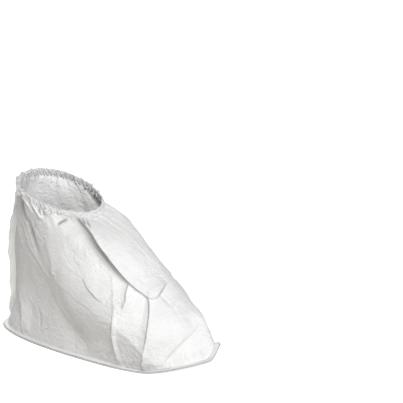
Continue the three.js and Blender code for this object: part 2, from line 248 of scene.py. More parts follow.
# Creases on the inner side, which the photograph hides, of the same kinds
INNER_FOLDS = (
    Fold("inner flap", Crease.FLAP, 18, 3.4, (
        (318, 0.55, 0.0), (306, 0.51, 1.6), (297, 0.55, 3.2), (291, 0.64, 4.4), (289, 0.74, 4.2),
        (294, 0.86, 2.2), (302, 0.97, 0.6)), lean=2.6, painted_shade=8.0),
    Fold("inner front fold", Crease.FLAP, 18, 2.4, (
        (288, 0.01, 1.6), (293, 0.14, 2.8), (297, 0.27, 3.6), (300, 0.40, 3.6), (304, 0.49, 1.2)),
        lean=2.0, painted_shade=5.5, shade=0.6),
    Fold("inner side fold", Crease.FLAP, 4.4, 2.4, (
        (275, 0.01, 1.4), (274, 0.10, 3.2), (280, 0.27, 3.6), (290, 0.44, 2.2), (302, 0.60, 0.0)),
        power=1.0, lean=0.6, painted_shade=4.0, shade=0.4),
    Fold("inner kink", Crease.FLAP, 15, 2.2, (
        (292, 0.45, 0.0), (284, 0.49, 2.2), (282, 0.56, 2.2), (285, 0.62, 0.0)), lean=1.3, painted_shade=4.0,
        shade=0.6),
    Fold("inner toe crease", Crease.VALLEY, 22, 26, (
        (342, 0.21, 0.0), (330, 0.165, 4.0), (321, 0.11, 5.0), (313, 0.05, 2.5)), painted_shade=4.0,
        shade=0.2),
    Fold("inner skirt line", Crease.VALLEY, 44, 30, (
        (240, 0.46, 0.0), (246, 0.34, 3.0), (251, 0.22, 5.4), (258, 0.13, 5.0), (265, 0.06, 2.4),
        (269, 0.03, 0.0)), crest=2.0),
    Fold("inner heel valley", Crease.VALLEY, 8, 10, (
        (213, 0.58, 0.8), (212, 0.42, 2.2), (214, 0.25, 3.4), (216, 0.12, 3.6), (217, 0.02, 1.0)),
        crest=1.0),
    Fold("inner hem pocket", Crease.VALLEY, 9, 8, (
        (246, 0.97, 1.4), (238, 0.89, 3.6), (232, 0.82, 4.0), (240, 0.78, 0.0)), crest=1.5),
    Fold("inner pocket below", Crease.VALLEY, 9, 8, (
        (258, 0.93, 0.4), (254, 0.84, 2.6), (250, 0.74, 2.8), (250, 0.62, 0.0)), crest=1.2),
    Fold("inner gather crease", Crease.VALLEY, 3.0, 3.0, (
        (284, 0.90, 0.0), (292, 0.94, 1.8), (301, 0.98, 1.8)), painted_shade=3.6, shade=0.8),
    Fold("inner tongue", Crease.RIDGE, 8, 8, (
        (262, 0.76, 0.0), (260, 0.66, 1.8), (256, 0.56, 1.8), (252, 0.50, 0.0)), crest=2.0),
    Fold("inner dimples", Crease.VALLEY, 3.5, 3.5, (
        (232, 0.28, 0.0), (234, 0.22, 1.4), (236, 0.17, 0.6), (237, 0.12, 1.5), (239, 0.08, 0.0)),
        crest=0.4),
)

FOLDS = TURNS + OUTER_FOLDS + INNER_FOLDS


def hermite(knots: np.ndarray, values: np.ndarray, at: np.ndarray) -> np.ndarray:
    """Smooth values between knots: cubic steps whose slopes join each knot's two neighbours.

    Args:
        knots: Rising places of the known values.
        values: Known values, one row for each knot.
        at: Places to fill in.

    Returns:
        The filled-in values, one row for each place.
    """
    slopes = np.zeros_like(values)
    slopes[1:-1] = ((values[2:] - values[:-2]).T / (knots[2:] - knots[:-2])).T
    slopes[0] = (values[1] - values[0]) / (knots[1] - knots[0])
    slopes[-1] = (values[-1] - values[-2]) / (knots[-1] - knots[-2])
    low = np.clip(np.searchsorted(knots, at, side="right") - 1, 0, len(knots) - 2)
    step = knots[low + 1] - knots[low]
    t = (at - knots[low]) / step
    if values.ndim == 2:
        t, step = t[:, None], step[:, None]
    rise = (values[low + 1] - values[low]) * t * t * (3 - 2 * t)
    leave = t * (1 - t) ** 2 * step * slopes[low]
    arrive = t * t * (t - 1) * step * slopes[low + 1]
    return values[low] + rise + leave + arrive


def smooth_step(value: np.ndarray, low: float, high: float) -> np.ndarray:
    """Soft ramp from 0 at low to 1 at high."""
    t = np.clip((value - low) / (high - low), 0, 1)
    return t * t * (3 - 2 * t)


def unit(vectors: np.ndarray) -> np.ndarray:
    """The vectors, each made one long."""
    return vectors / np.maximum(np.linalg.norm(vectors, axis=-1, keepdims=True), 1e-12)


def signed_power(value: np.ndarray, power: np.ndarray) -> np.ndarray:
    """Power of the size, with the sign kept."""
    return np.sign(value) * np.abs(value) ** power


def distances(line: np.ndarray) -> np.ndarray:
    """Distance walked along a line of points from its first point to each."""
    return np.concatenate([[0], np.cumsum(np.linalg.norm(np.diff(line, axis=0), axis=1))])


def turns(count: int) -> np.ndarray:
    """Angles spread evenly round a closed profile, in a column."""
    return (np.arange(count) / count * TURN)[:, None]


def waves(share: np.ndarray, *rows: tuple[float, float, float]) -> np.ndarray:
    """Sum of sine waves along a length, each given by its size, rate and start."""
    return sum(size * np.sin(rate * share + start) for size, rate, start in rows)


def grid_faces(
    rows: int, columns: int, closed_rows: bool = False, closed_columns: bool = True
) -> np.ndarray:
    """Four-cornered faces of a grid whose points are stored row by row.

    Args:
        rows: Number of rows.
        columns: Number of columns, running round the cover from the toe to the outer side.
        closed_rows: Whether the last row joins the first.
        closed_columns: Whether the last column joins the first.

    Returns:
        Point numbers of each face, facing out where rows rise up a wall.
    """
    row = np.arange(rows if closed_rows else rows - 1)
    column = np.arange(columns if closed_columns else columns - 1)
    row, column = np.meshgrid(row, column, indexing="ij")
    above = (row + 1) % rows * columns
    beside = (column + 1) % columns
    here = row * columns
    corners = (here + column, above + column, above + beside, here + beside)
    return np.stack(corners, -1).reshape(-1, 4)


def add_piece(name: str, points: np.ndarray, *faces: np.ndarray) -> bpy.types.Object:
    """Makes a smooth-shaded mesh object from arrays.

    Args:
        name: Name of the piece.
        points: Its points in millimetres, in any grid order.
        *faces: Point numbers, one array for each number of corners.

    Returns:
        The new object, at the origin.
    """
    mesh = bpy.data.meshes.new(name)
    flat = (points.reshape(-1, 3) * MM).astype(np.float32)
    mesh.vertices.add(len(flat))
    mesh.vertices.foreach_set("co", flat.ravel())
    loops = np.concatenate([part.ravel() for part in faces])
    counts = np.concatenate([np.full(len(part), part.shape[1]) for part in faces])
    mesh.loops.add(len(loops))
    mesh.loops.foreach_set("vertex_index", loops.astype(np.int32))
    mesh.polygons.add(len(counts))
    mesh.polygons.foreach_set("loop_start", (np.cumsum(counts) - counts).astype(np.int32))
    mesh.polygons.foreach_set("use_smooth", np.ones(len(counts), bool))
    mesh.update(calc_edges=True)
    mesh.validate()
    piece = bpy.data.objects.new(name, mesh)
    bpy.context.scene.collection.objects.link(piece)
    return piece


@dataclass(frozen=True)
class Sleeve:
    """Plain rounded sleeve, lofted through level sections, on a sole that lifts at the toe.

    lift raises the whole toe and tilt its inner side, and lift_fade is the power by which both fade
    up the wall. near_band is where closer columns begin, by the sine of the angle. probe_around and
    probe_up are the steps over which directions are measured.
    """

    lift: float = 14.0
    lift_start: float = 98.0
    lift_end: float = 168.0
    lift_fade: float = 1.5
    tilt: float = 12.5
    tilt_along: tuple[float, float] = (105.0, 150.0)
    tilt_across: tuple[float, float] = (-6.0, 20.0)
    foot: float = 2.7
    even_level: float = 0.3
    outline_steps: int = 2880
    near_band: tuple[float, float] = (-0.25, 0.1)
    probe_around: float = 1.5
    probe_up: float = 0.02

    def column(self, name: str, up: np.ndarray) -> np.ndarray:
        """One column of the section table, smoothed between its levels.

        Args:
            name: Name of the column.
            up: Share of the wall's height.

        Returns:
            The column's value at each share.
        """
        knots = np.array([section.up for section in SECTIONS])
        values = np.array([float(getattr(section, name)) for section in SECTIONS])
        return hermite(knots, values, up)

    def lift_at(self, x: np.ndarray, y: np.ndarray) -> np.ndarray:
        """Height of the sole's underside: a cubic that starts flat, with more lift on the inner side.

        Args:
            x: Places along the cover.
            y: Places across it.

        Returns:
            Heights above the floor.
        """
        t = np.clip((x - self.lift_start) / (self.lift_end - self.lift_start), 0, 1)
        tilt = self.tilt * smooth_step(x, *self.tilt_along) * smooth_step(y, *self.tilt_across)
        return self.lift * t * t * (2 - t) + tilt

    def point(self, around: np.ndarray, up: np.ndarray, grow: np.ndarray | float = 0.0) -> np.ndarray:
        """Point of the sleeve: a rounded outline with its own power at each end, on a slanting level.

        Args:
            around: Degrees round the wall.
            up: Share of the wall's height.
            grow: How far the outline is grown outwards.

        Returns:
            Points, with their coordinates on the last axis.
        """
        around, up, grow = np.broadcast_arrays(np.radians(around), np.asarray(up, float), grow)
        names = ("x_back", "x_front", "x_wide", "half", "z_back", "z_front", "toe", "heel")
        back, front, wide, half, low, high, toe, heel = (self.column(name, up) for name in names)
        back, front, half = back - grow, front + grow, half + grow
        c, s = np.cos(around), np.sin(around)
        power = 2 / np.where(c >= 0, toe, heel)
        x = wide + np.where(c >= 0, front - wide, wide - back) * signed_power(c, power)
        y = -half * signed_power(s, power)
        z = low + (high - low) * (x - back) / (front - back)
        z = z + self.lift_at(x, y) * np.clip(1 - up, 0, 1) ** self.lift_fade + self.foot * (1 - up)
        return np.stack([x, y, z], -1)

    def outward(self, around: np.ndarray, up: np.ndarray) -> np.ndarray:
        """Outward direction: the cross product of the ways up and round.

        Args:
            around: Degrees round the wall.
            up: Share of the wall's height.

        Returns:
            Directions one long.
        """
        above = self.point(around, np.minimum(up + self.probe_up, 1))
        below = self.point(around, np.maximum(up - self.probe_up, 0))
        ahead = self.point(around + self.probe_around, up)
        behind = self.point(around - self.probe_around, up)
        return unit(np.cross(above - below, ahead - behind))

    def even_columns(
        self, count: int, level: float, grow: float = 0.0, near: float = 1.0
    ) -> np.ndarray:
        """Degrees of columns that are evenly spaced along the outline at one level.

        Args:
            count: Number of columns.
            level: The level, as a share of the wall's height.
            grow: How far the outline is grown outwards.
            near: How many times closer the columns stand on the outer side than on the inner one.

        Returns:
            One angle for each column, starting at the toe.
        """
        fine = np.linspace(0, 360, self.outline_steps + 1)
        line = self.point(fine, np.full_like(fine, level), grow)
        weight = 1 + (near - 1) * smooth_step(np.sin(np.radians(fine[1:])), *self.near_band)
        steps = np.linalg.norm(np.diff(line, axis=0), axis=1)
        along = np.concatenate([[0], np.cumsum(weight * steps)])
        return np.interp(np.arange(count) / count * along[-1], along, fine)


@dataclass(frozen=True)
class Gathers:
    """Small pleats drawn up by the elastic; neighbours merge into fewer, wider ones further down.

    tiers lists each set of pleats: how many, how high, and over what length it fades. strength lists
    degrees round the hem with the share of the height there.
    """

    pleats: int = 88
    seed: int = 7
    wander: float = 2.4
    wander_share: tuple[float, float] = (0.5, 1.1)
    wander_rates: tuple[int, ...] = (3, 7, 13, 21, 34)
    tiers: tuple[tuple[float, float, float], ...] = (
        (88, 0.9, 7), (44, 1.1, 13), (22, 1.0, 20), (9, 0.7, 30))
    tier_shift: float = 0.37
    tier_power: float = 1.5
    strength: tuple[tuple[float, float], ...] = (
        (0, 0.6), (30, 0.8), (55, 1.0), (95, 1.3), (130, 1.3), (180, 0.8), (230, 1.1), (300, 0.9),
        (340, 0.6), (360, 0.6))

    def phase(self, around: np.ndarray) -> np.ndarray:
        """Pleats counted round the hem, with a seeded wander so that no two are alike.

        Args:
            around: Degrees round the wall.

        Returns:
            The count at each place.
        """
        rng = np.random.default_rng(self.seed)
        turn = np.radians(around)
        wander = 0.0 * turn
        for rate in self.wander_rates:
            size = rng.uniform(*self.wander_share)
            wander = wander + size * np.sin(rate * turn + rng.uniform(0, TURN)) * self.wander / rate
        return self.pleats * around / 360 + wander

    def wave(self, around: np.ndarray, count: float, shift: float = 0.0) -> np.ndarray:
        """Round bumps parted by sharp valleys, from -1 to 1: twice the size of a cosine, less one."""
        return 2 * np.abs(np.cos(np.pi * (self.phase(around) * count / self.pleats + shift))) - 1

    def depth(self, around: np.ndarray, below: np.ndarray) -> np.ndarray:
        """How far the gathers stand out at a distance below the hem.

        Args:
            around: Degrees round the wall.
            below: Millimetres down from the hem.

        Returns:
            Sum of the tiers, each fading over its own length.
        """
        knots, values = np.array(self.strength).T
        total = 0.0 * below
        for number, (count, size, fade) in enumerate(self.tiers):
            near = size * np.exp(-(below / fade) ** self.tier_power)
            total = total + near * self.wave(around, count, self.tier_shift * number)
        return total * np.interp(np.mod(around, 360), knots, values)


@dataclass(frozen=True)
class WrinkleRow:
    """Row of short wrinkles between a first and a last one, each given by both its ends.

    uneven is how much their spacing and size vary, at the two rates, and start_share is the share of
    the height at which a wrinkle starts.
    """

    name: str
    count: int
    first: tuple[float, float, float, float]
    last: tuple[float, float, float, float]
    height: float
    reach: float = 1.9
    # reach and darkness of the shade painted into the colour along each wrinkle
    painted_shade: float = 1.4
    shade: float = 0.2
    uneven: float = 0.3
    space_rate: float = 2.4
    size_rate: float = 3.7
    start_share: float = 0.2

    def folds(self) -> list[Fold]:
        """Valleys spread unevenly from the first to the last, some shorter and shallower than others.

        Returns:
            One fold for each wrinkle.
        """
        made = []
        for number in range(self.count):
            share = (number + self.uneven * np.sin(self.space_rate * number)) / (self.count - 1)
            place = (1 - share) * np.array(self.first) + share * np.array(self.last)
            full = 1 - self.uneven * (1 + np.cos(self.size_rate * number))
            start, end = place[:2], place[:2] + full * (place[2:] - place[:2])
            high = full * self.height
            path = ((*start, self.start_share * high), (*((start + end) / 2), high), (*end, 0.0))
            made.append(Fold(
                f"{self.name} {number}", Crease.VALLEY, self.reach, self.reach, path,
                painted_shade=self.painted_shade, shade=full * self.shade))
        return made


WRINKLE_ROWS = (
    WrinkleRow("side herringbone", 5, (55.5, 0.535, 48, 0.566), (60.5, 0.422, 53, 0.456), 0.8),
    WrinkleRow("low side wrinkle", 5, (99, 0.025, 90, 0.095), (87, 0.05, 77.5, 0.125), 0.8),
    WrinkleRow("toe seam wrinkle", 8, (33, 0.02, 29, 0.085), (4, 0.025, 0, 0.10), 1.0),
    WrinkleRow(
        "inner side wrinkle", 5, (292, 0.46, 300, 0.50), (284, 0.33, 292, 0.37), 0.9,
        reach=2.6, painted_shade=2.6, shade=0.12),
)
WRINKLES = tuple(fold for row in WRINKLE_ROWS for fold in row.folds())


@dataclass(frozen=True)
class Crumple:
    """Fine slack of a papery sheet: low swells and many short, crisp, seeded creases.

    turn_per_mm and mm_per_climb turn a crease's length into degrees round and shares up the wall.
    """

    seed: int = 23
    swells: int = 26
    swell_size: float = 0.16
    swell_length: tuple[float, float] = (34.0, 90.0)
    creases: int = 170
    crease_size: tuple[float, float] = (0.18, 0.55)
    crease_length: tuple[float, float] = (10.0, 34.0)
    crease_reach: tuple[float, float] = (2.2, 5.0)
    crease_levels: tuple[float, float] = (0.04, 0.9)
    crease_lean: float = 0.8
    valley_share: float = 0.45
    turn_per_mm: float = 0.35
    mm_per_climb: float = 420.0

    def swell(self, points: np.ndarray) -> np.ndarray:
        """Low swells: a sum of seeded cosine waves that run through space in all directions.

        Args:
            points: Points with their coordinates on the last axis.

        Returns:
            The height of the swells at each point.
        """
        rng = np.random.default_rng(self.seed)
        ways = unit(rng.normal(size=(self.swells, 3)))
        rates = TURN / rng.uniform(*self.swell_length, self.swells)
        starts = rng.uniform(0, TURN, self.swells)
        return self.swell_size * np.cos(points @ (ways * rates[:, None]).T + starts).sum(-1)

    def folds(self) -> list[Fold]:
        """Short straight creases, scattered by seed and mostly running down the wall.

        Returns:
            One fold for each crease.
        """
        rng = np.random.default_rng(self.seed + 1)
        made = []
        for number in range(self.creases):
            around = rng.uniform(0, 360)
            up = rng.uniform(*self.crease_levels)
            length = rng.uniform(*self.crease_length)
            lean = rng.normal(0.0, self.crease_lean)
            high = rng.uniform(*self.crease_size)
            reach = rng.uniform(*self.crease_reach)
            turn = self.turn_per_mm * length * np.sin(lean)
            climb = length * np.cos(lean) / self.mm_per_climb
            start, end = (around - turn, up + climb, 0.0), (around + turn, up - climb, 0.0)
            kind = Crease.VALLEY if rng.random() < self.valley_share else Crease.RIDGE
            made.append(Fold(f"crumple {number}", kind, reach, reach, (start, (around, up, high), end)))
        return made


@dataclass
class Drape:
    """The creased wall: every fold, gather and swell laid over the plain sleeve.

    flap_hold is the length over which a flap's slide dies out. The next two fields give the width over
    which the shade painted on a flap's low side starts at its crest, and the least reach of painted shade.
    Folds ease out over top_ease, and down to foot_share over foot_ease. Small puckers stand along the
    sole seam.
    """

    sleeve: Sleeve
    gathers: Gathers = field(default_factory=Gathers)
    crumple: Crumple = field(default_factory=Crumple)
    trace_steps: int = 120
    fine_steps: int = 24
    flap_hold: float = 9.0
    # width and least reach of the shade painted beside folds
    painted_shade_border: float = 1.4
    painted_shade_least: float = 0.4
    top_ease: float = 0.045
    foot_ease: float = 0.05
    foot_share: float = 0.3
    hem_drop: float = 210.0
    pucker_count: int = 74
    pucker_size: float = 0.4
    pucker_start: float = 2.5
    pucker_fade: float = 11.0
    pucker_wander: tuple[float, float, float] = (3, 5, 0)

    def trace(self, fold: Fold, steps: int) -> tuple[np.ndarray, ...]:
        """Spreads a fold's path into points on the plain sleeve.

        Args:
            fold: The fold.
            steps: Number of points.

        Returns:
            Points, walking directions, distances along and heights.
        """
        rows = np.array(fold.path, float)
        corners = self.sleeve.point(rows[:, 0], rows[:, 1])
        along = distances(corners)
        places = hermite(along, rows, np.linspace(0, along[-1], steps))
        points = self.sleeve.point(places[:, 0], np.clip(places[:, 1], 0, 1))
        ways = unit(np.gradient(points, axis=0))
        return points, ways, distances(points), np.maximum(places[:, 2], 0)

    def locate(
        self, fold: Fold, points: np.ndarray, normals: np.ndarray, steps: int
    ) -> tuple[np.ndarray, ...]:
        """Finds which points of the plain wall lie near a fold, and where.

        Args:
            fold: The fold.
            points: Points of the plain wall, one row each.
            normals: Outward directions there.
            steps: Number of points that the path is spread into.

        Returns:
            Numbers of the near points, distances from the crest, sides (left above 0), heights of the
            crest and ways to the left.
        """
        line, ways, walked, heights = self.trace(fold, steps)
        middle = (line.min(0) + line.max(0)) / 2
        radius = np.linalg.norm(line - middle, axis=1).max() + max(fold.left, fold.right)
        near = np.flatnonzero(np.linalg.norm(points - middle, axis=1) < radius)
        here = points[near]
        nearest = ((line**2).sum(1) - 2 * here @ line.T).argmin(1)
        way = ways[nearest]
        offset = here - line[nearest]
        ahead = (offset * way).sum(1)
        leftward = unit(np.cross(normals[near], way))
        side = (offset * leftward).sum(1)
        before = np.where(nearest == 0, np.minimum(ahead, 0), 0)
        beyond = np.where(nearest == len(line) - 1, np.maximum(ahead, 0), before)
        beside = np.maximum((offset**2).sum(1) - ahead**2, 0)
        away = np.sqrt(beside + beyond**2 + fold.crest**2) - fold.crest
        height = np.interp(walked[nearest] + ahead, walked, heights)
        return near, away, side, height, leftward

    def press(
        self, fold: Fold, points: np.ndarray, normals: np.ndarray, steps: int
    ) -> np.ndarray:
        """Shift that one fold gives to points of the plain wall.

        The height falls from the crest as (1 - distance / reach) to a power, with its own reach on each
        side; a flap also slides its crest sideways, most at the crest, so that it hangs over its low side.

        Args:
            fold: The fold.
            points: Points of the plain wall, one row each.
            normals: Outward directions there.
            steps: Number of points that the path is spread into.

        Returns:
            The shift of each point.
        """
        near, away, side, height, leftward = self.locate(fold, points, normals, steps)
        reach = np.where(side >= 0, fold.left, fold.right)
        rise = height * np.clip(1 - away / reach, 0, 1) ** fold.power
        sign = -1.0 if fold.kind is Crease.VALLEY else 1.0
        shift = np.zeros_like(points)
        shift[near] = sign * rise[:, None] * normals[near]
        if fold.kind is Crease.FLAP:
            dropping = np.clip(1 - away / fold.right, 0, 1)
            hold = np.where(side >= 0, np.exp(-away / self.flap_hold), dropping)
            shift[near] -= (fold.lean * height / fold.peak() * hold)[:, None] * leftward
        return shift

    def painted_shade(self, around: np.ndarray, up: np.ndarray) -> np.ndarray:
        """Painted shade: how much the sheet's colour is darkened beside folds, where shade falls.

        It is the fold's shade at the fold and falls to 0 over the fold's painted-shade reach, as one less
        the square of the distance. A valley is shaded on both sides, and a flap only on its low side.

        Args:
            around: Degrees round the wall.
            up: Share of the wall's height.

        Returns:
            One value for each place, 0 outside all hollows.
        """
        around, up = np.broadcast_arrays(np.asarray(around, float), np.asarray(up, float))
        plain = self.sleeve.point(around.ravel(), up.ravel())
        normal = self.sleeve.outward(around.ravel(), up.ravel())
        painted_shade_share = np.zeros(len(plain))
        for fold in FOLDS + WRINKLES:
            if fold.painted_shade:
                near, away, side, height, _ = self.locate(fold, plain, normal, self.trace_steps)
                full = np.clip(height / fold.peak(), 0, 1)
                reach = np.maximum(fold.painted_shade * full, self.painted_shade_least)
                share = fold.shade * full * np.clip(1 - (away / reach) ** 2, 0, 1)
                if fold.kind is Crease.FLAP:
                    share = share * np.clip(0.5 - side / self.painted_shade_border, 0, 1)
                painted_shade_share[near] = np.maximum(painted_shade_share[near], share)
        return painted_shade_share.reshape(around.shape)

    def surface(self, around: np.ndarray, up: np.ndarray, fine: bool = True) -> np.ndarray:
        """Outer face of the creased sheet: the plain sleeve, shifted by all folds, swells and gathers.

        Args:
            around: Degrees round the wall.
            up: Share of the wall's height.
            fine: Whether the crumple's creases and the rows of wrinkles are laid in as well.

        Returns:
            Points, with their coordinates on the last axis.
        """
        around, up = np.broadcast_arrays(np.asarray(around, float), np.asarray(up, float))
        shape = around.shape
        around, up = around.ravel(), up.ravel()
        plain = self.sleeve.point(around, up)
        normal = self.sleeve.outward(around, up)
        shift = np.zeros_like(plain)
        for fold in FOLDS:
            shift += self.press(fold, plain, normal, self.trace_steps)
        if fine:
            for fold in (*self.crumple.folds(), *WRINKLES):
                shift += self.press(fold, plain, normal, self.fine_steps)
        shift += self.crumple.swell(plain)[:, None] * normal
        foot = self.foot_share + (1 - self.foot_share) * smooth_step(up, 0.0, self.foot_ease)
        ease = smooth_step(1 - up, 0.0, self.top_ease) * foot
        turn = np.radians(around)
        pucker = np.cos(self.pucker_count * turn + waves(turn, self.pucker_wander))
        height = up * self.hem_drop
        fade = np.exp(-height / self.pucker_fade) * (1 - np.exp(-height / self.pucker_start))
        gathered = self.gathers.depth(around, self.hem_drop - height)
        relief = gathered + self.pucker_size * fade * pucker
        return (plain + shift * ease[:, None] + relief[:, None] * normal).reshape(*shape, 3)


@dataclass(frozen=True)
class Flange:
    """Turned-out edge where wall and sole are sewn together."""

    sleeve: Sleeve

    def point(self, around: np.ndarray, grow: np.ndarray, height: np.ndarray | float) -> np.ndarray:
        """Point of the edge: the sleeve's foot outline grown outwards, raised from the sole's underside.

        Args:
            around: Degrees round the outline.
            grow: Distance out from the wall's foot, negative inside.
            height: Height above the sole's underside.

        Returns:
            Points, with their coordinates on the last axis.
        """
        around, grow, height = np.broadcast_arrays(np.asarray(around, float), grow, height)
        point = self.sleeve.point(around, np.zeros_like(around), grow)
        point[..., 2] = self.sleeve.lift_at(point[..., 0], point[..., 1]) + height
        return point


@dataclass(frozen=True)
class Grain:
    """Noise in the sheet: its scale for each metre, its detail, its distortion and its share."""

    scale: float
    detail: float
    distortion: float
    share: float = 1.0


STREAK = Grain(1500, 3, 1.4, 0.3)
CLOUD = Grain(70, 4, 0.6, 0.35)
SPECK = Grain(520, 3, 0.4, 0.35)
PATCH = Grain(26, 2, 0.3)
FIBRE_CRINKLE = Grain(260, 2, 0.5, 0.45)
SHEET_CRINKLES = (Grain(60, 2, 0.5, 0.7), Grain(170, 2, 0.5, 0.3), Grain(380, 2, 0.5, 0.25))

# Layers of fibres: how far each is turned, and how its streaks are drawn out
FIBRE_LAYERS = ((0.5, (1.0, 0.13, 0.5)), (1.7, (0.16, 1.0, 0.4)), (2.6, (0.5, 0.2, 1.0)))
LAYER_AXIS = (0.4, 0.3, 1.0)

# Sockets of a colour mix: the share and the two colours, and the result
MIX_INPUTS = (0, 6, 7)
MIX_RESULT = 2


@dataclass
class Wiring:
    """Small helper that places and joins shader nodes."""

    tree: bpy.types.NodeTree

    def node(self, kind: str, **values: object) -> bpy.types.Node:
        """Adds a node; a capitalised value sets an input socket, any other a property.

        Args:
            kind: Blender's name of the node type.
            **values: Sockets and properties to set.

        Returns:
            The node.
        """
        made = self.tree.nodes.new(kind)
        for name, value in values.items():
            if name[0].isupper():
                made.inputs[name.replace("_", " ")].default_value = value
            else:
                setattr(made, name, value)
        return made

    def join(self, source: bpy.types.NodeSocket, target: bpy.types.NodeSocket) -> None:
        """Links two sockets."""
        self.tree.links.new(source, target)

    def feed(self, target: bpy.types.NodeSocket, source: object) -> None:
        """Links a socket to the target, or sets the target to a number or colour.

        Args:
            target: Input to feed.
            source: Socket, number or colour.
        """
        if isinstance(source, bpy.types.NodeSocket):
            self.join(source, target)
        else:
            target.default_value = source

    def math(self, way: str, first: object, second: object) -> bpy.types.NodeSocket:
        """Adds a sum of two terms.

        Args:
            way: Blender's name of the operation.
            first: First socket or number.
            second: Second socket or number.

        Returns:
            The result.
        """
        made = self.node("ShaderNodeMath", operation=way)
        self.feed(made.inputs[0], first)
        self.feed(made.inputs[1], second)
        return made.outputs[0]

    def mix(self, way: str, *terms: object) -> bpy.types.NodeSocket:
        """Adds a mix of two colours.

        Args:
            way: Blender's name of the blend.
            *terms: Share of the second colour, first colour and second colour.

        Returns:
            The mixed colour.
        """
        made = self.node("ShaderNodeMix", data_type="RGBA", blend_type=way)
        for place, term in zip(MIX_INPUTS, terms):
            self.feed(made.inputs[place], term)
        return made.outputs[MIX_RESULT]

    def noise(self, vector: bpy.types.NodeSocket, grain: Grain) -> bpy.types.NodeSocket:
        """Adds a noise texture.

        Args:
            vector: Place to read it at.
            grain: Its measures.

        Returns:
            The noise's value.
        """
        made = self.node(
            "ShaderNodeTexNoise", Scale=grain.scale, Detail=grain.detail, Distortion=grain.distortion)
        self.join(vector, made.inputs["Vector"])
        return made.outputs[0]


def fibre_web() -> bpy.types.ShaderNodeTree:
    """Shader group of a nonwoven sheet: crossing fibre streaks, cloudy weight and papery crinkles.

    Returns:
        The group, with the outputs Mottle (0 to 1) and Relief (a height in millimetres).
    """
    name = "fibre_web"
    if name in bpy.data.node_groups:
        return bpy.data.node_groups[name]
    group = bpy.data.node_groups.new(name, "ShaderNodeTree")
    group.interface.new_socket("Vector", in_out="INPUT", socket_type="NodeSocketVector")
    for side, sockets in (("INPUT", ("Crinkle", "Fibre")), ("OUTPUT", ("Mottle", "Relief"))):
        for socket in sockets:
            group.interface.new_socket(socket, in_out=side, socket_type="NodeSocketFloat")
    wire = Wiring(group)
    start = wire.node("NodeGroupInput")
    end = wire.node("NodeGroupOutput")
    plain, layers = start.outputs["Vector"], []
    for turn, drawn in FIBRE_LAYERS:
        turned = [turn * share for share in LAYER_AXIS]
        place = wire.node("ShaderNodeMapping", Rotation=turned, Scale=drawn)
        wire.join(plain, place.inputs["Vector"])
        layers.append(place.outputs[0])
    crossed = wire.noise(layers[0], STREAK)
    for layer in layers[1:]:
        crossed = wire.math("MAXIMUM", crossed, wire.noise(layer, STREAK))
    mottle = wire.math("MULTIPLY", crossed, STREAK.share)
    for grain in (CLOUD, SPECK):
        part = wire.math("MULTIPLY", wire.noise(plain, grain), grain.share)
        mottle = wire.math("ADD", mottle, part)
    wire.join(mottle, end.inputs["Mottle"])
    patch = wire.noise(plain, PATCH)
    relief = wire.math("MULTIPLY", crossed, start.outputs["Fibre"])
    crinkles = [(layer, FIBRE_CRINKLE) for layer in layers]
    crinkles += [(plain, grain) for grain in SHEET_CRINKLES]
    for source, grain in crinkles:
        bent = wire.math("ABSOLUTE", wire.math("SUBTRACT", wire.noise(source, grain), 0.5), 0.0)
        worn = wire.math("MULTIPLY", bent, wire.math("MULTIPLY", patch, grain.share))
        relief = wire.math("ADD", relief, wire.math("MULTIPLY", worn, start.outputs["Crinkle"]))
    wire.join(relief, end.inputs["Relief"])
    return group


@dataclass(frozen=True)
class SheetFinish:
    """Finish of nonwoven sheet: a near-white tone mottled by its fibres, matt, with a papery relief, and
    shade painted into its colour beside folds.
    """

    name: str
    thin: tuple[float, float, float]
    thick: tuple[float, float, float]
    roughness: tuple[float, float] = (0.50, 0.68)
    crinkle: float = 6.0
    fibre: float = 0.13
    relief: float = 1.0
    specular: float = 0.3
    sheen: float = 0.12
    sheen_roughness: float = 0.4
    # how far the painted shade beside folds darkens the colour
    painted_shade_dim: float = 0.5

    def material(self) -> bpy.types.Material:
        """Makes the material, or returns the one made before.

        Returns:
            The material.
        """
        if self.name in bpy.data.materials:
            return bpy.data.materials[self.name]
        made = bpy.data.materials.new(self.name)
        made.use_nodes = True
        wire = Wiring(made.node_tree)
        shader = made.node_tree.nodes["Principled BSDF"]
        place = wire.node("ShaderNodeTexCoord")
        web = wire.node(
            "ShaderNodeGroup", node_tree=fibre_web(), Crinkle=self.crinkle, Fibre=self.fibre)
        wire.join(place.outputs["Object"], web.inputs["Vector"])
        # Painted shade: the stored fold shade darkens the base colour
        painted_shade_mask = wire.node("ShaderNodeAttribute", attribute_name=PAINTED_SHADE_ATTRIBUTE)
        dim = wire.math("SUBTRACT", 1.0, wire.math("MULTIPLY", painted_shade_mask.outputs["Fac"], self.painted_shade_dim))
        tone = wire.mix("MIX", web.outputs["Mottle"], (*self.thin, 1), (*self.thick, 1))
        wire.join(wire.mix("MULTIPLY", 1.0, tone, dim), shader.inputs["Base Color"])
        smooth, coarse = self.roughness
        rough = wire.node("ShaderNodeMapRange", To_Min=smooth, To_Max=coarse)
        wire.join(web.outputs["Mottle"], rough.inputs["Value"])
        wire.join(rough.outputs[0], shader.inputs["Roughness"])
        bump = wire.node("ShaderNodeBump", Strength=self.relief, Distance=MM)
        wire.join(web.outputs["Relief"], bump.inputs["Height"])
        wire.join(bump.outputs[0], shader.inputs["Normal"])
        shader.inputs["Specular IOR Level"].default_value = self.specular
        shader.inputs["Sheen Weight"].default_value = self.sheen
        shader.inputs["Sheen Roughness"].default_value = self.sheen_roughness
        return made


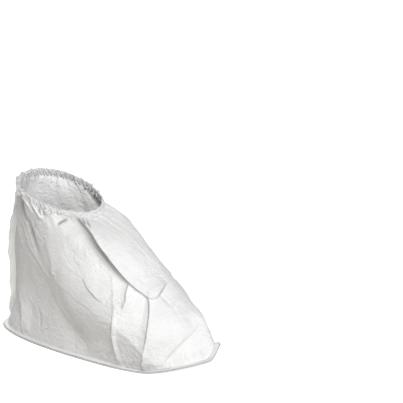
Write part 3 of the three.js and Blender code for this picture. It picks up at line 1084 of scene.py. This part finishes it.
UPPER_FINISH = SheetFinish("white_sheet", (0.75, 0.75, 0.75), (0.99, 0.99, 0.99))
SOLE_FINISH = SheetFinish("sole_sheet", (0.76, 0.76, 0.755), (0.90, 0.90, 0.895), crinkle=1.6)
EDGE_FINISH = SheetFinish(
    "overlocked_edge", (0.50, 0.50, 0.495), (0.68, 0.68, 0.675), crinkle=0.0, fibre=0.12)
HEM_FINISH = SheetFinish("gathered_hem", (0.50, 0.50, 0.50), (0.92, 0.92, 0.92), crinkle=4.0)
STRIP_FINISH = SheetFinish(
    "heel_edge", (0.80, 0.80, 0.795), (0.96, 0.96, 0.955), crinkle=0.0, fibre=0.12)
THREAD_FINISH = SheetFinish(
    "sewing_thread", (0.78, 0.78, 0.77), (0.93, 0.93, 0.92), crinkle=0.0, fibre=0.1)


def dress(piece: bpy.types.Object, finish: SheetFinish, slot: str, *nodes: str) -> bpy.types.Object:
    """Gives a piece its finish and its body, and hides the nodes that it stands for.

    Args:
        piece: The piece.
        finish: Its finish.
        slot: The record's material slot; not used.
        *nodes: Names of the nodes that it replaces.

    Returns:
        The same piece.
    """
    piece.data.materials.append(finish.material())
    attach(piece, BODY)
    if nodes:
        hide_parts(*nodes)
    LOG.info("%s: %d faces", piece.name, len(piece.data.polygons))
    return piece


@dataclass
class UpperSheet:
    """The loose sleeve: creased wall with its foot turned out along the sole, and its inside face.

    row_ease draws the rows a little closer halfway up, and near the columns on the outer side. The
    inside face keeps below the lowest wall within lining_step rows and about lining_reach columns.
    """

    drape: Drape
    flange: Flange
    columns: int = 540
    rows: int = 148
    near: float = 2.2
    row_ease: float = 0.018
    sheet: float = 0.5
    lining_step: int = 7
    lining_reach: int = 3
    lining_top: tuple[float, float] = (0.88, 0.97)
    fillet: float = 0.5
    fillet_fade: float = 0.8
    edge: tuple[float, ...] = (5.5, 4.4, 3.3, 2.3, 1.4, 0.7)

    def lining(self, around: np.ndarray, up: np.ndarray, wall: np.ndarray) -> np.ndarray:
        """Inside face: the lowest the wall lies near each place, less the sheet, on every few rows.

        Args:
            around: Degrees of the columns.
            up: Levels of the rows.
            wall: Points of the outer face, row by row.

        Returns:
            Points of the inside face, from the top row down.
        """
        sleeve = self.drape.sleeve
        places = np.broadcast_arrays(around[None, :], up[:, None])
        plain, normal = sleeve.point(*places), sleeve.outward(*places)
        high = ((wall - plain) * normal).sum(-1)
        beside = np.min([np.roll(high, step, 1) for step in (-1, 0, 1)], 0)
        reach = self.lining_reach
        far = np.min([np.roll(beside, step, 1) for step in (-reach, 0, reach)], 0)
        rows = np.arange(self.rows - 1, -1, -self.lining_step)
        rows = np.append(rows[rows > 0], 0)
        padded = np.pad(far, ((self.lining_step, self.lining_step), (0, 0)), mode="edge")
        low = np.min([padded[rows + step] for step in range(2 * self.lining_step + 1)], 0)
        top = smooth_step(up[rows], *self.lining_top)[:, None]
        depth = top * beside[rows] + (1 - top) * low - self.sheet
        return plain[rows] + depth[..., None] * normal[rows]

    def build(self) -> bpy.types.Object:
        """Lays the turned-out edge, the wall and the inside face as one closed grid.

        Returns:
            The dressed piece.
        """
        sleeve = self.drape.sleeve
        around = sleeve.even_columns(self.columns, sleeve.even_level, near=self.near)
        share = np.linspace(0, 1, self.rows)
        up = share + self.row_ease * np.sin(TURN * share)
        wall = self.drape.surface(around[None, :], up[:, None])
        grow = np.array(self.edge)[:, None]
        fillet = sleeve.foot + self.fillet * np.exp(-grow / self.fillet_fade)
        foot = self.flange.point(around[None, :], grow, fillet)
        under = self.flange.point(around[None, :], grow[[-1, 0]], sleeve.foot - self.sheet)
        points = np.concatenate([foot, wall, self.lining(around, up, wall), under])
        piece = add_piece("upper_sheet", points, grid_faces(len(points), self.columns, closed_rows=True))
        # Shade painted into the colour beside folds, stored on the wall's points
        painted_shade = np.zeros(points.shape[:2], np.float32)
        painted_shade[len(foot) : len(foot) + len(wall)] = self.drape.painted_shade(around[None, :], up[:, None])
        piece.data.attributes.new(PAINTED_SHADE_ATTRIBUTE, "FLOAT", "POINT").data.foreach_set("value", painted_shade.ravel())
        return dress(piece, UPPER_FINISH, "upper_sheet", "upper")


@dataclass
class SolePanel:
    """The flat sole: a closed panel of two faces that meet at the sewn edge and lift at the toe.

    Its faces swell a little, by their slack, and swell_edge is the power that holds the edge flat.
    """

    flange: Flange
    crumple: Crumple
    columns: int = 240
    rings: int = 26
    middle: float = 10.0
    top: float = 0.9
    under: float = 0.12
    top_slack: float = 0.3
    under_slack: float = 0.12
    swell_rate: float = 1.6
    swell_edge: int = 6
    edge: tuple[float, ...] = (1.5, 3.0, 4.5, 5.4)

    def face(self, around: np.ndarray, height: float, slack: float) -> np.ndarray:
        """One face from its middle out to the edge: rings that shrink towards one point.

        Args:
            around: Degrees of the columns.
            height: Height above the underside.
            slack: Size of its low swells.

        Returns:
            Points of the rings, from the smallest to the edge.
        """
        share = (np.arange(1, self.rings + 1) / self.rings)[:, None, None]
        outline = self.flange.point(around, np.zeros_like(around), np.zeros_like(around))
        centre = np.array([self.middle, 0.0, 0.0])
        inside = centre + share * (outline - centre)
        held = 1 - share[..., 0] ** self.swell_edge
        swell = np.abs(self.crumple.swell(inside * self.swell_rate)) * slack * held
        inside[..., 2] = self.flange.sleeve.lift_at(inside[..., 0], inside[..., 1]) + height + swell
        grow = np.array(self.edge)[:, None]
        border = self.flange.point(around[None, :], grow, np.full_like(grow, height))
        return np.concatenate([inside, border])

    def build(self) -> bpy.types.Object:
        """Joins the top face, the underside and the two middle points.

        Returns:
            The dressed piece.
        """
        around = self.flange.sleeve.even_columns(self.columns, 0.0)
        upper = self.face(around, self.top, self.top_slack)
        lower = self.face(around, self.under, self.under_slack)
        ringed = np.concatenate([lower, upper[::-1]]).reshape(-1, 3)
        rows = len(lower) + len(upper)
        poles = np.array([[self.middle, 0, self.under], [self.middle, 0, self.top]])
        points = np.concatenate([ringed, poles])
        column = np.arange(self.columns)
        after = (column + 1) % self.columns
        last = (rows - 1) * self.columns
        below = np.stack([column, after, np.full_like(column, len(ringed))], -1)
        above = np.stack([last + after, last + column, np.full_like(column, len(ringed) + 1)], -1)
        faces = grid_faces(rows, self.columns)
        piece = add_piece("sole_panel", points, faces, below, above)
        return dress(piece, SOLE_FINISH, "sole_sheet", "sole")


@dataclass
class SoleOverlock:
    """Thread-bound edge round the sole: a flat rounded bar with a slanting rib for each thread loop."""

    flange: Flange
    loops: int = 290
    steps: int = 6
    corners: int = 14
    inner: float = 2.5
    outer: float = 7.0
    height: float = 2.0
    rib: float = 0.2
    slant: float = 0.35
    roundness: float = 0.7

    def build(self) -> bpy.types.Object:
        """Carries the bar's profile round the outline and swells it at each loop.

        Returns:
            The dressed piece.
        """
        columns = self.loops * self.steps
        around = self.flange.sleeve.even_columns(columns, 0.0, self.outer)[None, :]
        turn = turns(self.corners)
        loop = np.arange(columns)[None, :] / self.steps + self.slant * np.sin(turn)
        swell = self.rib * (np.abs(np.cos(np.pi * loop)) - 1)
        wide = (self.outer - self.inner) / 2 + swell
        tall = self.height / 2 + swell
        grow = (self.outer + self.inner) / 2 + wide * signed_power(np.cos(turn), self.roundness)
        rise = self.height / 2 + tall * signed_power(np.sin(turn), self.roundness)
        points = self.flange.point(around, grow, np.maximum(rise, 0))
        faces = grid_faces(self.corners, columns, closed_rows=True)
        piece = add_piece("sole_overlock", points, faces)
        return dress(piece, EDGE_FINISH, "seam_edge", "sole_seam")


@dataclass
class HeelStrip:
    """Seam allowance standing out down the middle of the heel, bent to the outer side and overlocked.

    Waves are given as size, rate and start. bound is the share of the width where thread binds it.
    """

    drape: Drape
    width: float = 10.6
    thin: float = 0.55
    thick: float = 0.95
    bend: float = 46.0
    sunk: float = 0.8
    loops: int = 66
    steps: int = 6
    corners: int = 16
    low: float = 0.02
    high: float = 0.975
    top_taper: tuple[float, float] = (-0.03, 0.10)
    foot_taper: float = 0.06
    foot_width: float = 0.6
    width_waves: tuple[tuple[float, float, float], ...] = ((0.05, 31, 0), (0.04, 57, 1))
    swing_waves: tuple[tuple[float, float, float], ...] = ((7, 17, 0), (5, 39, 2))
    sway: tuple[float, float, float] = (0.5, 23, 0)
    roundness: float = 0.6
    bound: tuple[float, float] = (0.62, 0.74)
    slant: float = 0.3
    rib_level: float = 0.6
    rib_side: float = 0.22
    rib_out: float = 0.15
    root_bend: float = 0.55

    def build(self) -> bpy.types.Object:
        """Carries a thin rounded profile up the heel, bent as it goes out and thicker at its bound edge.

        Returns:
            The dressed piece.
        """
        count = self.loops * self.steps + 1
        share = np.linspace(0, 1, count)
        up = self.low + (self.high - self.low) * share
        root = self.drape.surface(np.full(count, HEEL), up, fine=False)
        grown = smooth_step(share, 0.0, self.foot_taper)
        width = self.width * smooth_step(1 - share, *self.top_taper)
        width = width * (self.foot_width + (1 - self.foot_width) * grown)
        width = width * (1 + waves(share, *self.width_waves))
        turn = turns(self.corners)
        out = 0.5 + 0.5 * signed_power(np.cos(turn), self.roundness)
        bound = smooth_step(out, *self.bound)
        loop = share * self.loops + self.slant * np.sin(turn)
        rib = np.abs(np.cos(np.pi * loop)) - self.rib_level
        half = self.thin + (self.thick - self.thin + self.rib_side * rib) * bound
        swing = self.bend + waves(share, *self.swing_waves)
        angle = np.radians(swing * (self.root_bend + (1 - self.root_bend) * out))
        reach = (width + self.sunk) * out - self.sunk + self.rib_out * rib * bound
        side = half * signed_power(np.sin(turn), self.roundness)
        x = root[:, 0] - reach * np.cos(angle) - side * np.sin(angle)
        y = root[:, 1] - reach * np.sin(angle) + side * np.cos(angle)
        z = root[:, 2] + waves(share, self.sway) * out
        points = np.stack(np.broadcast_arrays(x, y, z), -1)
        faces = grid_faces(self.corners, count, closed_rows=True, closed_columns=False)
        start = (np.arange(self.corners) * count)[None, :]
        piece = add_piece("heel_strip", points, faces, start, start[:, ::-1] + count - 1)
        return dress(piece, STRIP_FINISH, "heel_edge", "heel_seam")


@dataclass
class AnkleHem:
    """Hem folded over an elastic: a flat soft tube with rows of small puckers that don't line up.

    rows lists each row's level and shift. calm is the share of the puckers that is the same all round,
    and lively the two waves, multiplied, that vary the rest. lip is the power by which the puckers
    lift the top edge, and end_share the thickness left at the tube's two edges.
    """

    drape: Drape
    steps: int = 10
    corners: int = 24
    tall: float = 9.4
    thick: float = 2.4
    pucker: float = 1.6
    scallop: float = 0.8
    upright: float = 0.6
    rows: tuple[tuple[float, float], ...] = ((0.14, 0.0), (0.48, 0.37), (0.84, 0.71))
    row_width: float = 0.155
    calm: float = 0.7
    lively: tuple[tuple[float, float, float], ...] = ((1, 11, 1), (1, 5, 0))
    sunk: float = 0.9
    inset: float = 0.4
    lip: int = 3
    roundness: tuple[float, float] = (0.62, 0.8)
    end_share: float = 0.72
    probe: float = 0.05
    seam_level: float = 0.3
    seam_across: float = 0.9
    seam_steps: int = 2400

    def frame(self, around: np.ndarray) -> tuple[np.ndarray, np.ndarray, np.ndarray]:
        """Seat of the hem on the wall's top edge, with its ways up and out.

        Args:
            around: Degrees of the columns.

        Returns:
            Seats, ways up and ways out.
        """
        sleeve = self.drape.sleeve
        top = np.ones_like(around)
        seat = self.drape.surface(around, top, fine=False)
        rise = unit(sleeve.point(around, top) - sleeve.point(around, top - self.probe))
        upward = unit((1 - self.upright) * rise + self.upright * np.array([0.0, 0.0, 1.0]))
        normal = sleeve.outward(around, top)
        outward = unit(normal - (normal * upward).sum(-1, keepdims=True) * upward)
        return seat, upward, outward

    def shape(self, around: np.ndarray, level: np.ndarray, across: np.ndarray) -> np.ndarray:
        """Place on the hem: rows of puckers swell it and lift its top edge.

        Args:
            around: Degrees of the columns.
            level: Share of the hem's height, in a column of rows.
            across: From -1 on the inner face to 1 on the outer face, in a column of rows.

        Returns:
            Points in rows and columns.
        """
        gathers = self.drape.gathers
        seat, upward, outward = self.frame(around)
        relief = 0.0 * level
        for middle, shift in self.rows:
            share = np.exp(-(((level - middle) / self.row_width) ** 2))
            relief = relief + share * gathers.wave(around, gathers.pleats, shift)[None, :]
        quick, slow = (waves(np.radians(around), row) for row in self.lively)
        relief = relief * (self.calm + (1 - self.calm) * quick * slow)
        height = level * self.tall - self.sunk + self.scallop * relief * level**self.lip
        out = self.thick / 2 * across - self.thick * self.inset + self.pucker * relief
        return seat + height[..., None] * upward + out[..., None] * outward

    def seam_line(self) -> tuple[np.ndarray, np.ndarray]:
        """Line sewn round the hem's outer face near its lower edge.

        Returns:
            Points of the line and the ways out from the face.
        """
        around = np.linspace(0, 360, self.seam_steps)
        line = self.shape(around, np.array([[self.seam_level]]), np.array([[self.seam_across]]))
        return line[0], self.frame(around)[2]

    def build(self) -> bpy.types.Object:
        """Carries a flat rounded loop round the ankle.

        Returns:
            The dressed piece.
        """
        columns = self.drape.gathers.pleats * self.steps
        around = np.arange(columns) / columns * 360
        turn = turns(self.corners)
        upright, flat = self.roundness
        level = 0.5 + 0.5 * signed_power(np.sin(turn), upright)
        full = self.end_share + (1 - self.end_share) * np.sin(np.pi * level)
        across = signed_power(np.cos(turn), flat) * full
        faces = grid_faces(self.corners, columns, closed_rows=True)
        piece = add_piece("ankle_hem", self.shape(around, level, across), faces)
        return dress(piece, HEM_FINISH, "cuff_hem", "elastic_cuff")


@dataclass
class StitchRow:
    """Row of short thread stitches on a sewn line, joined into one piece."""

    name: str
    slot: str
    spacing: float = 3.4
    share: float = 0.64
    radius: float = 0.26
    rings: int = 6
    corners: int = 6
    hump: float = 0.7
    tip: float = 0.35

    def build(self, line: np.ndarray, outward: np.ndarray) -> bpy.types.Object:
        """Lays short humped tubes along the line, each a circle swept over a share of the spacing.

        Args:
            line: Closely spaced points of the sewn line, on the cloth's face.
            outward: Directions away from the cloth, one for each point.

        Returns:
            The dressed piece.
        """
        along = distances(line)
        count = int(along[-1] / self.spacing)
        step = np.linspace(0, 1, self.rings)
        places = (np.arange(count)[:, None] + self.share * step) * self.spacing
        middle = np.stack([np.interp(places, along, line[:, axis]) for axis in range(3)], -1)
        away = unit(np.stack([np.interp(places, along, outward[:, axis]) for axis in range(3)], -1))
        way = unit(np.gradient(middle, axis=1))
        beside = unit(np.cross(way, away))
        hump = np.sin(np.pi * step)
        middle = middle + (self.hump * self.radius * hump)[:, None] * away
        size = self.radius * (self.tip + (1 - self.tip) * np.sqrt(hump))
        turn = turns(self.corners)
        ring = np.cos(turn) * beside[:, :, None] + np.sin(turn) * away[:, :, None]
        points = middle[:, :, None] + size[:, None, None] * ring
        tube = grid_faces(self.rings, self.corners)
        first = np.arange(count)[:, None, None] * self.rings * self.corners
        sides = (first + tube).reshape(-1, 4)
        cap = np.arange(self.corners)
        starts = (first + cap).reshape(-1, self.corners)
        ends = (first + cap[::-1] + (self.rings - 1) * self.corners).reshape(-1, self.corners)
        piece = add_piece(self.name, points, sides, starts, ends)
        return dress(piece, THREAD_FINISH, self.slot)


@dataclass(frozen=True)
class Lamp:
    """Round soft lamp: where it stands round the cover, its power in watts and its size in metres."""

    name: str
    azimuth: float
    elevation: float
    power: float
    size: float
    tint: tuple[float, float, float] = (1.0, 1.0, 1.0)


@dataclass
class Studio:
    """Plain pale floor, soft light and the camera, placed as the cover is seen in the photograph."""

    frame_px: float = 403.0
    focal_px: float = 1978.06
    sensor: float = 36.0
    azimuth: float = 40.615
    elevation: float = 19.464
    distance: float = 2522.5
    clip_end: float = 100.0
    aim_right: float = 121.34
    aim_up: float = 179.19
    floor_half: float = 9.0
    floor_glow: float = 0.82
    floor_tint: tuple[float, float, float, float] = (0.8, 0.79, 0.76, 1.0)
    floor_roughness: float = 0.9
    world_light: float = 0.11
    world_tint: tuple[float, float, float, float] = (1.0, 0.98, 0.93, 1.0)
    lamps: tuple[Lamp, ...] = (
        Lamp("key", 39.0, 51.0, 39.5, 1.1, (1.0, 0.997, 0.993)),
        Lamp("toe_side", 95.0, 9.0, 18.2, 0.7, (0.95, 0.975, 1.0)),
        Lamp("inner_side", 232.0, 27.0, 22.0, 1.0),
    )
    lamp_distance: float = 2.4

    def way(self, azimuth: float, elevation: float) -> Vector:
        """Direction from the cover to a place round it; azimuth 0 is the outer side and 90 the toe."""
        a, e = np.radians(azimuth), np.radians(elevation)
        return Vector((np.sin(a) * np.cos(e), -np.cos(a) * np.cos(e), np.sin(e)))

    def add_camera(self) -> None:
        """Aims a long lens at a point beside the cover, so that the frame falls as in the photograph."""
        lens = bpy.data.cameras.new("camera")
        lens.sensor_width = self.sensor
        lens.lens = self.focal_px / self.frame_px * self.sensor
        lens.clip_end = self.clip_end
        camera = bpy.data.objects.new("camera", lens)
        back = self.way(self.azimuth, self.elevation)
        right = Vector((0, 0, 1)).cross(back).normalized()
        aim = (right * self.aim_right + back.cross(right) * self.aim_up) * MM
        camera.location = back * self.distance * MM
        camera.rotation_mode = "QUATERNION"
        camera.rotation_quaternion = (aim - camera.location).to_track_quat("-Z", "Y")
        bpy.context.scene.collection.objects.link(camera)
        bpy.context.scene.camera = camera

    def add_floor(self) -> None:
        """Lays a wide floor that glows a little, as a light table does."""
        half = self.floor_half / MM
        corners = np.array([[-half, -half, 0], [half, -half, 0], [half, half, 0], [-half, half, 0]])
        floor = add_piece("floor", corners, np.array([[0, 1, 2, 3]]))
        paint = bpy.data.materials.new("floor_paint")
        paint.use_nodes = True
        shader = paint.node_tree.nodes["Principled BSDF"]
        shader.inputs["Base Color"].default_value = self.floor_tint
        shader.inputs["Roughness"].default_value = self.floor_roughness
        shader.inputs["Emission Color"].default_value = (1, 1, 1, 1)
        wire = Wiring(paint.node_tree)
        seen = wire.node("ShaderNodeLightPath").outputs["Is Camera Ray"]
        wire.join(wire.math("MULTIPLY", seen, self.floor_glow), shader.inputs["Emission Strength"])
        floor.data.materials.append(paint)

    def add_light(self) -> None:
        """Sets a white surrounding and large soft lamps that the camera doesn't see."""
        scene = bpy.context.scene
        scene.view_settings.view_transform = "Standard"
        world = bpy.data.worlds.new("studio")
        world.use_nodes = True
        sky = world.node_tree.nodes["Background"]
        sky.inputs["Color"].default_value = self.world_tint
        sky.inputs["Strength"].default_value = self.world_light
        scene.world = world
        for lamp in self.lamps:
            light = bpy.data.lights.new(lamp.name, "AREA")
            light.shape = "DISK"
            light.size = lamp.size
            light.energy = lamp.power
            light.color = lamp.tint
            holder = bpy.data.objects.new(lamp.name, light)
            back = self.way(lamp.azimuth, lamp.elevation)
            holder.location = back * self.lamp_distance
            holder.rotation_mode = "QUATERNION"
            holder.rotation_quaternion = (-back).to_track_quat("-Z", "Y")
            holder.visible_camera = False
            scene.collection.objects.link(holder)

    def build(self) -> None:
        """Adds the camera, the floor and the light."""
        self.add_camera()
        self.add_floor()
        self.add_light()
        LOG.info("studio ready")


def main() -> None:
    """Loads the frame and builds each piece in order."""
    logging.basicConfig(level=logging.INFO, format="%(name)s: %(message)s")
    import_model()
    Studio().build()
    sleeve = Sleeve()
    drape = Drape(sleeve)
    flange = Flange(sleeve)
    upper = UpperSheet(drape, flange).build()
    sole = SolePanel(flange, drape.crumple).build()
    edge = SoleOverlock(flange).build()
    strip = HeelStrip(drape).build()
    collar = AnkleHem(drape)
    hem = collar.build()
    stitches = StitchRow("hem_stitches", "cuff_hem").build(*collar.seam_line())


if __name__ == "__main__":
    main()
